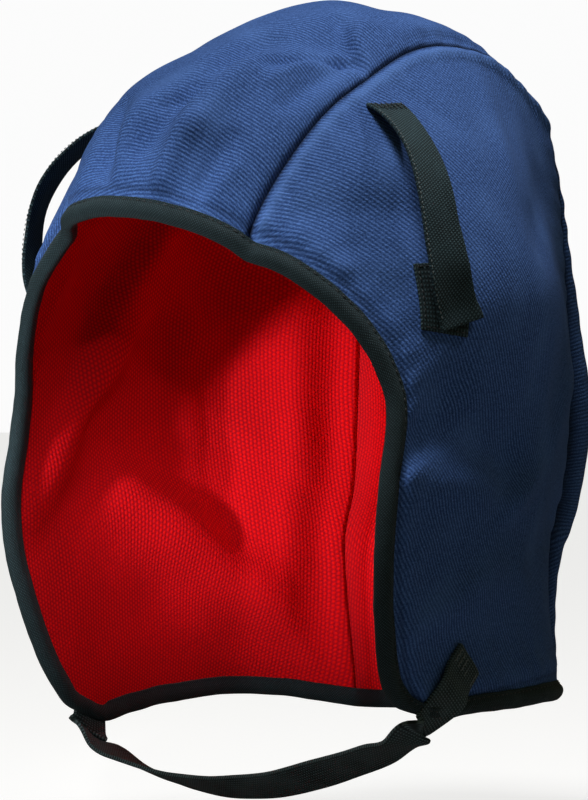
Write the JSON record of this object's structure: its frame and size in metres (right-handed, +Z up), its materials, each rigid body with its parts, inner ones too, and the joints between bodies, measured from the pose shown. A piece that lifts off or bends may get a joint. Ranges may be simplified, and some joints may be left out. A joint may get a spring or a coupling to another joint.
{
  "type": "hard hat liner",
  "caption": "Soft winter cap worn under a hard hat: twill shell with a red knit lining, bound face opening and hem, hook-and-loop tabs at the temples and a chin strap.",
  "frame": {"origin": "where the top of the head touches the lining, under the highest point of the crown", "axes": "+Z up, -Y towards the face opening, +X towards the wearer's left"},
  "size_m": [0.2278, 0.2629, 0.332],
  "materials": {
    "twill": "matte cotton twill, navy blue",
    "knit_lining": "fine brushed knit, red",
    "binding_tape": "folded bias tape, near black",
    "hook_tape": "hook tape, near black",
    "webbing": "flat woven tape, near black"
  },
  "bodies": {
    "root": {"center_panel": "twill", "left_side_panel": "twill", "right_side_panel": "twill", "center_lining": "knit_lining", "left_lining": "knit_lining", "right_lining": "knit_lining", "edge_binding": "binding_tape", "left_tab": "webbing", "right_tab": "webbing", "left_tab_patch": "hook_tape", "right_tab_patch": "hook_tape", "chin_strap": "webbing"}
  },
  "joints": []
}
